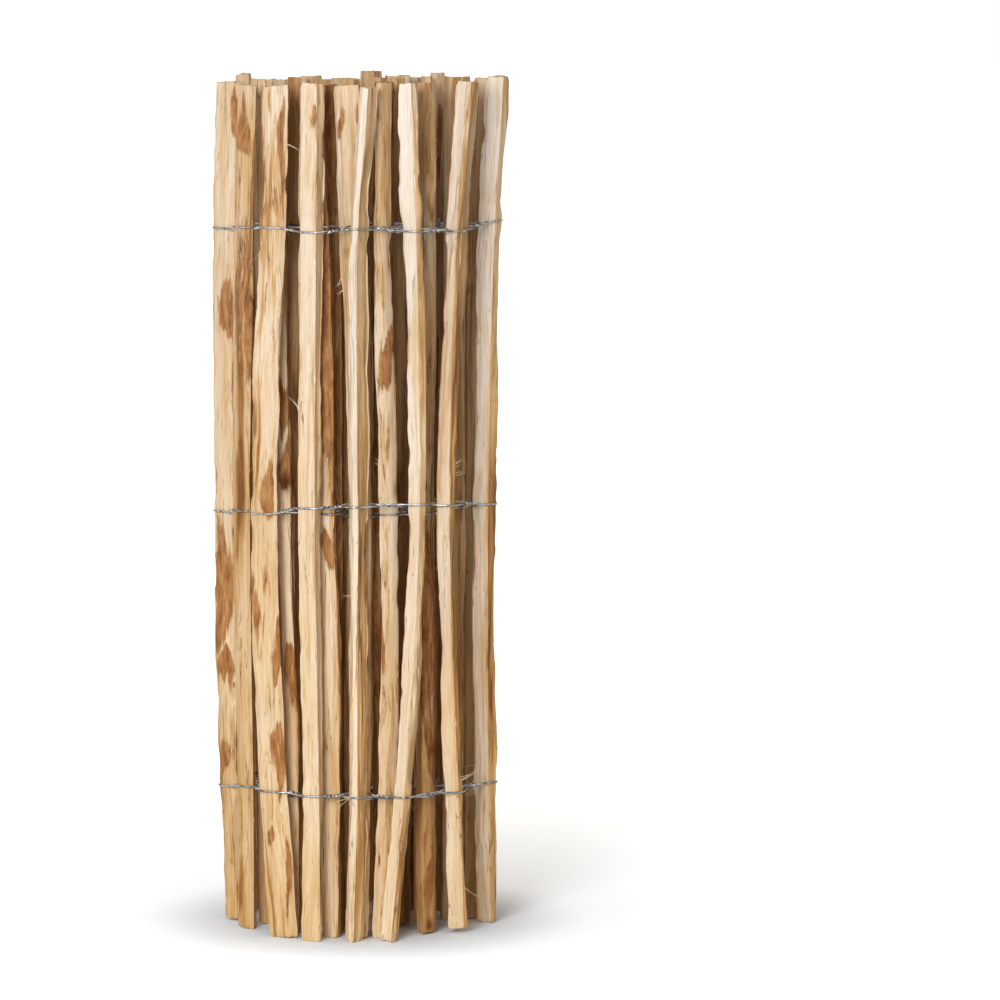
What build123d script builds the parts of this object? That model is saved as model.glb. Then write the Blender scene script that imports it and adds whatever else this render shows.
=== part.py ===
from build123d import *
import math
import os
import random
from dataclasses import dataclass

# A roll of cleft chestnut paling standing on end.
# Split pales are held in three rows of galvanised wire. Each row is two strands that pass either
# side of a pale and twist round each other before the next one. The whole fence is wound into a roll.
# Millimetres, +Z up, the origin on the ground in the middle of the roll, its show side facing -Y.

# Driving dimensions
pale_height = 1200.0
pale_width = 32.0  # across the bark side of a common pale
pale_depth = 22.0  # from the bark to the heart side of a common pale
heart_width = 13.0  # across the heart side of a common pale
bark_rise = 4.0  # how far the bark side bulges beyond its two edges
pale_spacing = 72.0  # from pale to pale, measured along the wire
length_spread = 6.0  # how much longer or shorter than this a pale may be cut
foot_spread = 7.0  # how far a foot may stand clear of the ground
bow = 10.0  # the length in which the bends of a pale are counted

roll_radius = 186.0  # from the roll's middle to the centre line of its free end
eye_radius = 54.0  # no pale stands nearer to the roll's middle than this
roll_taper = 0.04  # how much wider the roll is at its head than at its foot
free_end_azimuth = 73.0  # where the free end lies, in degrees from the show side
turn_clearance = 4.0  # left between one turn and the next

wire_diameter = 2.2
wire_clearance = 0.4  # left between a strand and what it is pulled against
wire_end_distance = 200.0  # from either end of a pale to the nearest wire row
wire_waver = 4.0  # how far a row strays from its level in the outer turn
inner_waver = 1.0  # and inside the roll
wire_tail = 42.0  # what is left of the strands beyond the last pale
wire_sides = 3
twist_share = 0.56  # share of a gap that the twist takes
least_twist = 24.0  # a shorter gap has only a crossing
sharp_turn = 45.0  # degrees from pale to pale beyond which the strands keep their crossing
corner_lean = 35.0  # how far a strand leans outwards round a pale's edges, in degrees
twisted_pales = 15  # pales of the outer turn, whose gaps show the whole twist
hidden_from = 24  # pales from here on lie deep in the roll and bend less

# Sizes that follow from them
turn_pitch = pale_depth + 2 * (wire_diameter + wire_clearance) + turn_clearance
roll_axis = Vector(-turn_pitch / 10, turn_pitch * 0.3)
wire_radius = wire_diameter / 2
strand_reach = wire_radius + wire_clearance
twist_radius = strand_reach / math.cos(math.radians(45))
row_heights = {
    "lower": wire_end_distance,
    "middle": pale_height / 2,
    "upper": pale_height - wire_end_distance,
}
bend_heights = [0, *row_heights.values(), pale_height]


@dataclass
class Pale:
    """One cleft pale. Sway and flare move its centre line at the foot, the three rows and the head."""

    step: float = 1.0  # distance from the pale before it, in pale spacings
    width: float = 1.0  # in pale widths
    depth: float = 1.0  # in pale depths
    heart: float = 1.0  # in heart widths
    skew: float = 0.0  # how far the heart side lies off the middle, in heart widths
    turn: float = 0.0  # which way the bark faces: 0 outwards, 180 to the middle of the roll
    twist: float = 0.0  # degrees gained from foot to head
    spread: float = 0.0  # share of the width gained from foot to head
    sway: tuple = (0, 0, 0, 0, 0)  # to the right, seen from outside the roll, in bows
    flare: tuple = (0, 0, 0, 0, 0)  # outwards, in bows
    foot: float = 0.0  # height above the ground, in foot spreads
    head: float = 0.0  # longer than the pale height, in length spreads
    crossings: tuple = ()  # how far above their levels the three rows cross it, in wire wavers
    bends: str = "rows"  # where it bends: at the rows, also between them, or at the outer rows only
    azimuth: float = 0.0
    radius: float = 0.0


# The pales on the show side, from the free end to the left edge of the outer turn.
# The first eight values are step, width, depth, heart, skew, turn, twist and spread.
show_pales = {
    0: Pale(
        *(0, 0.98, 1.09, 0.96, 0.3, 144, 14, 0.1),
        sway=(1.9, 0.9, 0, 1.2, 2.5),
        flare=(0.4, 0.1, 0, 0.3, 1.1),
        head=1,
        crossings=(1, 0.7, 0.5),
    ),
    1: Pale(
        *(1.30, 0.97, 1.09, 0.62, -0.3, 172, -38, 0.2),
        sway=(3, 1.8, 0, 1.7, 3.8),
        flare=(0, 0, 0.1, 0.2, 0.3),
        foot=0.9,
        head=0.3,
        crossings=(1.6, 3.4, -0.9),
    ),
    2: Pale(
        *(0.67, 0.96, 1.05, 0.7, -0.3, 186, 10, 0.2),
        sway=(-4.3, -2.3, 0, -0.7, -1.5),
        head=0.3,
        crossings=(1, 3.8, -1.2),
    ),
    3: Pale(
        *(1.23, 0.80, 1.05, 0.6, -0.25, 176, -8, 0.1),
        sway=(-0.9, -0.3, 0, 0.2, 1.7),
        head=-0.5,
        crossings=(2.1, 4.2, 0.7),
    ),
    4: Pale(
        *(1.01, 1.02, 0.95, 1.9, 0.15, 184, -12, 0.25),
        sway=(0.2, 0.3, 0, 0.6, 0.9),
        head=0.3,
        crossings=(1.2, 2.6, -1.4),
    ),
    5: Pale(
        *(1.02, 1.24, 1.05, 1.1, 0.2, 28, 6, -0.1),
        sway=(3.1, 1.5, 0, 2.2, 2.6),
        flare=(0.1, 0.2, 0.2, 0.2, 0),
        head=-0.3,
        crossings=(2.2, 0.2, 0.5),
    ),
    6: Pale(
        *(0.77, 1.0, 0.9, 0.9, 0, 26, 8, 0),
        sway=(0, 0.2, 0, 1.4, 2.4),
        flare=(0.4, 0.4, 0.4, 0.3, 0.1),
        head=-0.7,
        crossings=(1, -1, -1),
    ),
    7: Pale(
        *(0.80, 1.24, 0.90, 1.6, 0.15, 44, 12, 0.34),
        sway=(0.2, 0.2, 0, 0.4, 0.6),
        flare=(1, 1.5, 1.6, 1, 0.4),
        foot=0.3,
        head=-0.3,
        crossings=(-0.7, -2.2, -1.8),
    ),
}
# The pales behind the free end and in the second turn that show through the gaps
gap_pales = {
    15: Pale(0.95, 1.0, 0.95, 1.0, 0, 20, flare=(0.3, 0.3, 0.3, 0.5, 1.3), head=0.3),
    17: Pale(0.89, 0.82, 1.0, 0.9, 0.15, 10, 0, -0.2, foot=0.3),
    18: Pale(0.82, 0.84, 0.95, 0.9, 0, 0, 12, -0.1, (-1, -0.2, 0, -0.9, -0.8), head=0.3),
    19: Pale(0.53, 1.06, 0.9, 1.85, 0.15, 180, 0, 0.4, (-0.6, -0.2, 0, -0.9, -1.5), head=-0.3),
    20: Pale(0.64, 0.78, 0.95, 0.9, -0.15, -8, 6, -0.2, (0.4, 0.6, 0, -0.6, -2)),
    21: Pale(0.98, 0.88, 1.0, 0.9, 0, 4, -6, 0, (1.1, 0.9, 0, -0.8, -0.6), head=-0.7),
}


def common_pale(draw):
    """A pale that the roll hides, with sizes drawn about the common ones."""
    return Pale(
        step=draw.uniform(0.87, 1.03),
        width=draw.uniform(0.82, 1.1),
        depth=draw.uniform(0.85, 1.0),
        heart=draw.uniform(0.6, 1.4),
        skew=draw.uniform(-0.25, 0.25),
        turn=draw.choice((0, 180)) + draw.uniform(-8, 8),
        twist=draw.uniform(-4, 4),
        spread=draw.uniform(-0.15, 0.2),
        sway=tuple(draw.uniform(-0.8, 0.8) for _ in bend_heights),
        foot=draw.choice((0, 0, draw.uniform(0, 1))),
        head=draw.uniform(-1, 1),
    )


def wound_pales():
    """Every pale in its place on the spiral, from the free end to the eye of the roll."""
    draw = random.Random(11)
    pales = []
    along = 0.0
    while True:
        index = len(pales)
        pale = common_pale(draw)
        pale = show_pales.get(index, gap_pales.get(index, pale))
        if index in show_pales:
            pale.bends = "between"
        elif index >= hidden_from:
            pale.bends = "outer rows"
            foot, lower, _, upper, head = pale.sway
            pale.sway = (foot, lower, (lower + upper) / 2, upper, head)
        along += pale.step * pale_spacing
        # Arc length along an Archimedean spiral, solved for the radius
        radius_squared = roll_radius**2 - turn_pitch * along / math.pi
        if radius_squared < eye_radius**2:
            return pales
        pale.radius = math.sqrt(radius_squared)
        wound = 360 * (roll_radius - pale.radius) / turn_pitch
        pale.azimuth = free_end_azimuth - wound
        pales.append(pale)


def bend(offsets, height):
    """A smooth curve through the five offsets, read at a height."""
    places = bend_heights
    last = len(places) - 1
    slopes = []
    for i in range(len(places)):
        before, after = max(i - 1, 0), min(i + 1, last)
        slopes.append((offsets[after] - offsets[before]) / (places[after] - places[before]))
    span = max(i for i in range(last) if places[i] <= max(height, 0))
    length = places[span + 1] - places[span]
    t = (min(height, pale_height) - places[span]) / length
    rise = offsets[span] * (1 + 2 * t) * (1 - t) ** 2 + offsets[span + 1] * t * t * (3 - 2 * t)
    return rise + length * (slopes[span] * t * (1 - t) ** 2 + slopes[span + 1] * t * t * (t - 1))


def heading(azimuth):
    """The level direction at an azimuth, counted from the show side to the right."""
    return Vector(0, -1).rotate(Axis.Z, azimuth)


def section_place(pale, height):
    """The centre of a pale's section at a height, and the direction that points out of the roll there."""
    share = height / pale_height
    radius = pale.radius * (1 + roll_taper * (share - 0.5)) + bow * bend(pale.flare, height)
    outward = heading(pale.azimuth + math.degrees(bow * bend(pale.sway, height) / pale.radius))
    return roll_axis + outward * radius, outward


def section_corners(pale, height):
    """Bark left, crown, bark right, heart right and heart left, with +Y towards the bark."""
    half = pale_width * pale.width * (1 + pale.spread * (height / pale_height - 0.5)) / 2
    crown = pale_depth * pale.depth / 2
    heart_half = heart_width * pale.heart / 2
    heart_middle = heart_width * pale.skew
    return (
        (-half, crown - bark_rise),
        (0, crown),
        (half, crown - bark_rise),
        (heart_middle + heart_half, -crown),
        (heart_middle - heart_half, -crown),
    )


def section_plane(pale, height):
    """The level plane of a pale's section, with +Y towards the bark."""
    centre, _ = section_place(pale, height)
    bark_way = heading(pale.azimuth + pale.turn + pale.twist * (height / pale_height - 0.5))
    return Plane((centre.X, centre.Y, height), x_dir=bark_way.rotate(Axis.Z, -90), z_dir=(0, 0, 1))


def section_heights(pale):
    """The heights of the sections that a pale is lofted through."""
    bottom = pale.foot * foot_spread
    top = pale_height + pale.head * length_spread
    lower, middle, upper = row_heights.values()
    bends = {
        "between": [lower, (lower + middle) / 2, middle, (middle + upper) / 2, upper],
        "rows": [lower, middle, upper],
        "outer rows": [lower, upper],
    }
    return [bottom, *bends[pale.bends], top]


def make_pale(pale, label):
    """A cleft pale, lofted through its sections from foot to head."""
    with BuildPart() as cleft:
        for height in section_heights(pale):
            bark_left, crown, bark_right, heart_right, heart_left = section_corners(pale, height)
            with BuildSketch(section_plane(pale, height)):
                with BuildLine():
                    ThreePointArc(bark_left, crown, bark_right)
                    Polyline(bark_right, heart_right, heart_left, bark_left)
                make_face()
        loft(ruled=True)
    cleft.part.label = label
    return cleft.part


@dataclass
class Place:
    """Where a wire row meets a pale."""

    centre: Vector
    ahead: Vector  # along the wire, away from the free end
    outward: Vector
    corners: list  # what a strand has to clear, as (ahead, outward) pairs

    def seen(self, point):
        """A point as an (ahead, outward) pair."""
        offset = point - self.centre
        return offset.dot(self.ahead), offset.dot(self.outward)

    def near_edge(self, beyond=0.0):
        """The edge that faces the free end, or a point some way beyond it."""
        return self.centre + self.ahead * (min(corner[0] for corner in self.corners) - beyond)

    def far_edge(self, beyond=0.0):
        """The edge that faces the eye of the roll, or a point some way beyond it."""
        return self.centre + self.ahead * (max(corner[0] for corner in self.corners) + beyond)


def wrapping_points(pale, height):
    """The corners of the polygon that wraps a pale's section."""
    bark_left, crown, bark_right, heart_right, heart_left = section_corners(pale, height)
    half = bark_right[0]
    arc_radius = (half**2 + bark_rise**2) / (2 * bark_rise)
    wrap = arc_radius * math.tan(math.asin(half / arc_radius) / 2)
    corners = bark_left, (-wrap, crown[1]), (wrap, crown[1]), bark_right, heart_right, heart_left
    return [section_plane(pale, height).from_local_coords(Vector(*corner)) for corner in corners]


def row_places(pales, row, draw):
    """Where a wire row meets each pale. The row strays a little up and down."""
    row_height = row_heights[row]
    places = []
    for pale in pales:
        waver = wire_waver if len(places) <= twisted_pales else inner_waver
        height = row_height + draw.uniform(-waver, waver)
        if pale.crossings:
            height = row_height + wire_waver * pale.crossings[list(row_heights).index(row)]
        # The pale runs straight between the sections below and above the row
        below = max(level for level in section_heights(pale) if level <= height)
        above = min(level for level in section_heights(pale) if level > height)
        share = (height - below) / (above - below)
        low, outward = section_place(pale, below)
        high, _ = section_place(pale, above)
        centre = low + (high - low) * share
        place = Place(centre + Vector(0, 0, height), outward.rotate(Axis.Z, -90), outward, [])
        for low, high in zip(wrapping_points(pale, below), wrapping_points(pale, above)):
            place.corners.append(place.seen(low + (high - low) * share))
        places.append(place)
    return places


def pulled_over(start, corners, end, side):
    """The corners of a strand pulled tight from start to end over one side of a pale."""
    widest = max(abs(ahead) for ahead, _ in corners)
    guards = []
    for ahead, out in corners:
        # The strand bends round a corner at a little more than its reach
        lean = math.radians(corner_lean) * ahead / widest
        reach = strand_reach / math.cos(math.radians(corner_lean))
        guards.append((ahead + reach * math.sin(lean), side * out + reach * math.cos(lean)))
    between = [guard for guard in guards if start[0] < guard[0] < end[0]]
    chain = []
    for point in sorted([(start[0], side * start[1]), *between, (end[0], side * end[1])]):
        while len(chain) > 1:
            (ax, ay), (bx, by) = chain[-2], chain[-1]
            if (bx - ax) * (point[1] - ay) - (by - ay) * (point[0] - ax) < 0:
                break
            chain.pop()
        chain.append(point)
    return [(ahead, side * out) for ahead, out in chain[1:-1]]


def gap_points(start, end, strand, twisted):
    """A strand's corners between two pales: one and a half turns of the twist, or a single crossing."""
    along = end - start
    up = Vector(0, 0, 1)
    out = Vector(along.X, along.Y).normalized().rotate(Axis.Z, 90)
    quarters = range(1, 6) if twisted and along.length > least_twist else (1,)
    points = []
    for number, quarter in enumerate(quarters):
        phase = math.radians(90 * quarter)
        aside = out * math.cos(phase) + up * math.sin(phase)
        share = 0.5 + (number - (len(quarters) - 1) / 2) * twist_share / 4
        points.append(start + along * share + aside * strand * twist_radius)
    return points


def strand_path(places, strand):
    """The corners of one strand of a row. Strand 1 starts on the outside of the roll, strand -1 inside."""
    starts = [places[0].near_edge(wire_tail)] + [place.far_edge() for place in places]
    ends = [place.near_edge() for place in places] + [places[-1].far_edge(wire_tail)]
    gaps = []
    for start, end in zip(starts, ends):
        gaps.append(gap_points(start, end, strand, len(gaps) <= twisted_pales))
    # Where the roll bends little, a crossing gives way to a straight run from pale to pale
    straight = [False] * len(gaps)
    for index, (place, following) in enumerate(zip(places, places[1:]), start=1):
        straight[index] = len(gaps[index]) == 1 and place.ahead.get_angle(following.ahead) < sharp_turn
    overs = [[] for _ in places]
    for _ in range(3):
        for index, place in enumerate(places):
            enter, leave = gaps[index][-1], gaps[index + 1][0]
            if straight[index] and overs[index - 1]:
                enter = overs[index - 1][-1]
            if straight[index + 1] and overs[index + 1]:
                leave = overs[index + 1][0]
            side = strand * (-1) ** index
            pulled = pulled_over(place.seen(enter), place.corners, place.seen(leave), side)
            level = place.centre + Vector(0, 0, strand * strand_reach)
            overs[index] = [level + place.ahead * ahead + place.outward * out for ahead, out in pulled]
    path = list(gaps[0])
    for over, gap, run_straight in zip(overs, gaps[1:], straight[1:]):
        path += over + ([] if run_straight else gap)
    return path


def make_strand(path, label):
    """A wire strand: straight runs mitred at each corner of its path."""
    runs = [(after - before).normalized() for before, after in zip(path, path[1:])]
    start = Plane(path[0], z_dir=runs[0])
    ring = []
    for side in range(wire_sides):
        ring.append(start.from_local_coords(Vector(wire_radius, 0).rotate(Axis.Z, 360 * side / wire_sides)))
    faces = [Face(Wire.make_polygon(ring))]
    for point, arriving, leaving in zip(path[1:], runs, runs[1:] + runs[-1:]):
        mitre = arriving + leaving
        reach = arriving.dot(mitre)
        following = [corner + arriving * ((point - corner).dot(mitre) / reach) for corner in ring]
        for side in range(wire_sides):
            edge = [ring[side - 1], ring[side], following[side], following[side - 1]]
            faces.append(Face(Wire.make_polygon(edge)))
        ring = following
    faces.append(Face(Wire.make_polygon(ring)))
    with BuildPart() as strand:
        add(Solid(Shell(faces)))
    strand.part.label = label
    return strand.part


os.makedirs("parts", exist_ok=True)
pales = wound_pales()
for index, pale in enumerate(pales):
    name = f"pale_{index + 1:02d}"
    export_step(make_pale(pale, name), f"parts/{name}.step")

draw = random.Random(5)
for row in row_heights:
    places = row_places(pales, row, draw)
    for number, strand in ((1, 1), (2, -1)):
        name = f"{row}_wire_{number}"
        export_step(make_strand(strand_path(places, strand), name), f"parts/{name}.step")
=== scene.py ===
import math
import random
from dataclasses import dataclass

import bpy
import numpy as np
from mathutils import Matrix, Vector, noise


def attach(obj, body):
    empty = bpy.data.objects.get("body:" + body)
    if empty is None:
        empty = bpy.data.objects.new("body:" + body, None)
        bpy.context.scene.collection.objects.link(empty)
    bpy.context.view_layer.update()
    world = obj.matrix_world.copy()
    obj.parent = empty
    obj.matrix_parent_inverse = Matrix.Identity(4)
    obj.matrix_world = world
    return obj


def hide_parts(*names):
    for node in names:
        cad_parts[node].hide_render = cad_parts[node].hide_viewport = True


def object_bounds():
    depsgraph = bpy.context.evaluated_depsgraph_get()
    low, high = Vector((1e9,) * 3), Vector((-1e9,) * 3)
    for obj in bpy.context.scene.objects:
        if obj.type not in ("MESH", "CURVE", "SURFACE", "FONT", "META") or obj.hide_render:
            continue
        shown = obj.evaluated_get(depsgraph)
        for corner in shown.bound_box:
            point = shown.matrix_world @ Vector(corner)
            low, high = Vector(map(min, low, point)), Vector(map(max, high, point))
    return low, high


# A standing roll of cleft chestnut paling: split pales, bark remains, twisted galvanised wire
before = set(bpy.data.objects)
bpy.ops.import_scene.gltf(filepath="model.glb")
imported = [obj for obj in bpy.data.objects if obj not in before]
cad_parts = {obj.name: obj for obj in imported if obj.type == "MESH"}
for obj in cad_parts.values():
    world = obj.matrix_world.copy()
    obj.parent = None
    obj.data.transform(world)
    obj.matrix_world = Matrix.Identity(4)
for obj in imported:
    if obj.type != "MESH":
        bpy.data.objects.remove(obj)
cad_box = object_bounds()

# The camera of the photograph, in metres and in pixels of its square picture
EYE = Vector((0.196, -7.688, 1.53))
PITCH = math.radians(6.87)
FOCAL = 5457
PICTURE = 1000
SENSOR_MM = 36

# Shader nodes

WHITE = (1, 1, 1)


def feed(tree, node, **inputs):
    """Gives a node its inputs; each is a value or another node's socket.

    An input's name has _ for a space, and i0, i1 and so on are places in the node's list of inputs.
    """
    for name, value in inputs.items():
        key = int(name[1:]) if name[0] == "i" and name[1:].isdigit() else name.replace("_", " ")
        socket = node.inputs[key]
        if isinstance(value, bpy.types.NodeSocket):
            tree.links.new(value, socket)
        else:
            socket.default_value = (*value, 1) if socket.type == "RGBA" else value


def add_node(tree, kind, settings=None, **inputs):
    """A new shader node with its settings and inputs."""
    made = tree.nodes.new("ShaderNode" + kind)
    for name, value in (settings or {}).items():
        setattr(made, name, value)
    feed(tree, made, **inputs)
    return made


def math_node(tree, operation, first, second=0.0, clamp=False):
    """The result of a sum on two values."""
    settings = {"operation": operation, "use_clamp": clamp}
    return add_node(tree, "Math", settings, i0=first, i1=second).outputs[0]


def vector_node(tree, operation, first, second):
    """The result of a sum on two vectors."""
    settings = {"operation": operation}
    return add_node(tree, "VectorMath", settings, i0=first, i1=second).outputs[0]


def ramp(tree, factor, stops):
    """Colours along a factor."""
    made = add_node(tree, "ValToRGB", Fac=factor)
    elements = made.color_ramp.elements
    while len(elements) < len(stops):
        elements.new(0.5)
    for element, (place, colour) in zip(elements, stops):
        element.position = place
        element.color = (*colour, 1)
    return made.outputs["Color"]


def rise(tree, factor, start, end, low=0.0, high=1.0):
    """A grey from low to high while a factor goes from start to end."""
    return ramp(tree, factor, [(start, (low,) * 3), (end, (high,) * 3)])


def mix_colour(tree, factor, first, second, blend="MIX"):
    """Two colours mixed by a factor."""
    settings = {"data_type": "RGBA", "blend_type": blend}
    return add_node(tree, "Mix", settings, i0=factor, i6=first, i7=second).outputs[2]


def new_material(name):
    """A new material with its node tree and its shader."""
    material = bpy.data.materials.new(name)
    material.use_nodes = True
    return material, material.node_tree, material.node_tree.nodes["Principled BSDF"]


# Camera, floor and light

FLOOR_WIDTH = 60
FLOOR_COLOUR = (0.80, 0.89, 1.0)
FLOOR_ROUGHNESS = 0.9
FLOOR_SHINE = 0.1
SKY_COLOUR = (1.0, 0.83, 0.63)
SKY_STRENGTH = 0.38
LIT_PLACE = (0, 0, 0.6)  # what the lamps point at

# How much the floor glows white for rays that see it plainly: the course, its start and end in metres from
# the roll, how much. Close to the roll it glows little, so the floor is darker there: painted shade round
# the roll's foot, over its real shadow
FLOOR_LIFTS = (("SMOOTHSTEP", 0.15, 0.34, 0.40), ("LINEAR", 0.3, 1.6, 0.5))
# The lamps: name, place, width in metres, power in watts and colour
LAMPS = (
    ("key", (-1.35, -4.2, 2.1), 1.8, 147, (1.0, 0.995, 0.985)),
    ("top", (-0.4, -0.8, 4.2), 3.0, 30, WHITE),
)


def add_object(name, data):
    """A new object in the scene."""
    made = bpy.data.objects.new(name, data)
    bpy.context.scene.collection.objects.link(made)
    return made


def make_camera():
    """The photograph's camera."""
    data = bpy.data.cameras.new("camera")
    data.sensor_width = SENSOR_MM
    data.lens = SENSOR_MM * FOCAL / PICTURE
    camera = add_object("camera", data)
    camera.location = EYE
    camera.rotation_euler = (math.pi / 2 - PITCH, 0, 0)
    bpy.context.scene.camera = camera


def pixels(points):
    """Where points of the model fall in the photograph's picture: their columns and rows."""
    rel = points - np.array(EYE)
    depth = rel[:, 1] * math.cos(PITCH) - rel[:, 2] * math.sin(PITCH)
    up = rel[:, 2] * math.cos(PITCH) + rel[:, 1] * math.sin(PITCH)
    return PICTURE / 2 + FOCAL * rel[:, 0] / depth, PICTURE / 2 - FOCAL * up / depth


def make_lamp(name, place, width, power, colour):
    """A soft square lamp that points at the roll."""
    data = bpy.data.lights.new(name, "AREA")
    data.size = width
    data.energy = power
    data.color = colour
    lamp = add_object(name, data)
    lamp.location = place
    lamp.rotation_euler = (Vector(LIT_PLACE) - Vector(place)).to_track_quat("-Z", "Y").to_euler()


def seen_straight(tree):
    """One for rays that see plain white: from the camera, off metal and through glass."""
    ray = add_node(tree, "LightPath").outputs
    bent = math_node(tree, "MAXIMUM", ray["Is Glossy Ray"], ray["Is Transmission Ray"])
    return math_node(tree, "MAXIMUM", ray["Is Camera Ray"], bent)


def floor_lift(tree, away, course, start, end, most):
    """How much white is added to the floor at a distance from the roll."""
    settings = {"interpolation_type": course}
    reach = {"From_Min": start, "From_Max": end, "To_Min": 0.0, "To_Max": most}
    return add_node(tree, "MapRange", settings, Value=away, **reach).outputs["Result"]


def make_floor():
    """A pale floor that turns white farther off and glows less near the roll, so it is darker there: its
    real shadow with painted shade over it.
    """
    material, tree, shader = new_material("floor")
    feed(tree, shader, Base_Color=FLOOR_COLOUR, Roughness=FLOOR_ROUGHNESS, Specular_IOR_Level=FLOOR_SHINE)
    place = add_node(tree, "TexCoord").outputs["Object"]
    away = add_node(tree, "VectorMath", {"operation": "LENGTH"}, i0=place).outputs["Value"]
    # near: glow that falls to none close to the roll, leaving painted shade round its foot
    near, far = (floor_lift(tree, away, *lift) for lift in FLOOR_LIFTS)
    strength = math_node(tree, "MULTIPLY", math_node(tree, "ADD", near, far), seen_straight(tree))
    glow = add_node(tree, "Emission", Strength=strength)
    both = add_node(tree, "AddShader", i0=shader.outputs["BSDF"], i1=glow.outputs["Emission"])
    feed(tree, tree.nodes["Material Output"], Surface=both.outputs["Shader"])
    bpy.ops.mesh.primitive_plane_add(size=FLOOR_WIDTH, location=(0, 0, 0))
    floor = bpy.context.object
    floor.name = "floor"
    floor.data.materials.append(material)


def make_sky():
    """A soft warm sky that is seen as plain white."""
    world = bpy.data.worlds.new("sky")
    bpy.context.scene.world = world
    world.use_nodes = True
    tree = world.node_tree
    sky = tree.nodes["Background"]
    feed(tree, sky, Color=SKY_COLOUR, Strength=SKY_STRENGTH)
    plain = add_node(tree, "Background", Color=WHITE, Strength=1.0)
    skies = {"i1": sky.outputs["Background"], "i2": plain.outputs["Background"]}
    mix = add_node(tree, "MixShader", i0=seen_straight(tree), **skies)
    feed(tree, tree.nodes["World Output"], Surface=mix.outputs["Shader"])


def make_stage():
    """A white floor, a white sky and soft studio light from the front left."""
    bpy.context.scene.view_settings.view_transform = "Standard"
    make_floor()
    make_sky()
    for lamp in LAMPS:
        make_lamp(*lamp)


# Materials


@dataclass
class Grain:
    """Noise in the wood: features per metre across and along the grain, and how fine they are."""

    across: float
    along: float
    detail: float = 3.0
    roughness: float = 0.55
    distortion: float = 0.0


FINE = Grain(300, 4, 5, 0.6)
FIBRE = Grain(950, 14)
BROAD = Grain(60, 5, 4, 0.6, 0.5)
STRIPS = Grain(95, 2.2, 4)
STREAK_PLACES = Grain(45, 4, 2)
FLECKS = Grain(190, 30, 2)
CRACKS = Grain(150, 2.2, 1)
CRACK_PLACES = Grain(35, 6, 2)
BARK_EDGES = Grain(110, 14, 7, 0.68, 0.3)
CRUST = Grain(190, 34, 6, 0.68)
SAWN_RINGS = Grain(420, 3)

WANDER_FEATURES = (20, 20, 6)  # of the wandering grain, per metre
WANDER_REACH = (0.018, 0.018, 0)
WANDER_DETAIL = 2.0

# Colours along the tone, from cream sapwood to brown heart
WOOD_COLOURS = (
    (0.0, (0.87, 0.76, 0.65)),
    (0.28, (0.80, 0.62, 0.435)),
    (0.55, (0.66, 0.42, 0.205)),
    (0.8, (0.43, 0.22, 0.08)),
    (1.0, (0.23, 0.10, 0.038)),
)
FIBRE_COLOURS = ((0.34, (0.62, 0.54, 0.44)), (0.5, WHITE))
FLECK_COLOUR = (0.36, 0.17, 0.07)
CRACK_COLOUR = (0.16, 0.08, 0.035)
BARK_COLOURS = ((0.28, (0.14, 0.055, 0.02)), (0.5, (0.40, 0.18, 0.065)), (0.75, (0.62, 0.36, 0.17)))
BAST_COLOURS = ((0.30, WHITE), (0.44, (0.80, 0.66, 0.50)), (0.5, WHITE))  # the thin rim round the bark
HEIGHT_COLOURS = ((0.1, (1.0, 0.95, 0.81)), (1.0, (0.92, 0.955, 1.0)))  # along the height in metres
# painted shade of pales in the gaps and behind others, and also the dark eyes of knots
SHADE_AND_KNOT_COLOUR = (0.30, 0.17, 0.075)
SAWN_COLOURS = ((0.3, (0.36, 0.21, 0.10)), (0.7, (0.74, 0.54, 0.33)))

# How strongly each texture shows in the colour
BROAD_SHARE = 0.95
FIBRE_SHARE = 0.36
FLECK_SHARE = 0.5
CRACK_SHARE = 0.75
BARK_RAGGED = 2.3
SAWN_SHARE = 0.8

# Where each texture fades in: the start and end, and the levels there if not 0 and 1
STRIP_FADE = (0.60, 0.66, 0.0, 0.34)
STREAK_FADE = (0.42, 0.62, 0.12, 0.85)
FLECK_FADE = (0.68, 0.73)
CRACK_FADE = (0.0, 0.012, 1.0, 0.0)
CRACK_PLACE_FADE = (0.48, 0.56)
BARK_FADE = (0.46, 0.54)

# How high each texture stands in the relief
FIBRE_RELIEF = 0.55
CRACK_RELIEF = -0.5
BARK_RELIEF = 0.7
BROAD_RELIEF = 1.2
RELIEF_STRENGTH = 0.6
RELIEF_HEIGHT = 0.0016

WOOD_ROUGHNESS = 0.78
WOOD_SHINE = 0.12

WIRE_CLOUDS = 160.0  # per metre
WIRE_DETAIL = 4.0
WIRE_COLOURS = ((0.35, (0.10, 0.098, 0.095)), (0.65, (0.46, 0.46, 0.45)))
WIRE_ROUGHNESS_FADE = (0.3, 0.7, 0.48, 0.28)
WIRE_METAL = 0.85


def grain_texture(tree, place, grain):
    """Noise stretched along the grain."""
    scaled = vector_node(tree, "MULTIPLY", place, (grain.across, grain.across, grain.along))
    kind = {"Detail": grain.detail, "Roughness": grain.roughness, "Distortion": grain.distortion}
    return add_node(tree, "TexNoise", Vector=scaled, Scale=1.0, **kind).outputs["Fac"]


def about_nought(tree, texture, strength):
    """A texture moved to lie about nought, times a strength."""
    return math_node(tree, "MULTIPLY", math_node(tree, "SUBTRACT", texture, 0.5), strength)


def wandering_grain(tree):
    """Places on a pale, counted across and along its grain, which wanders a little."""
    straight = add_node(tree, "Attribute", {"attribute_name": "grain"}).outputs["Vector"]
    scaled = vector_node(tree, "MULTIPLY", straight, WANDER_FEATURES)
    cloud = add_node(tree, "TexNoise", Vector=scaled, Scale=1.0, Detail=WANDER_DETAIL)
    centred = vector_node(tree, "SUBTRACT", cloud.outputs["Color"], (0.5, 0.5, 0.5))
    stray = vector_node(tree, "MULTIPLY", centred, WANDER_REACH)
    return vector_node(tree, "ADD", straight, stray)


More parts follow.
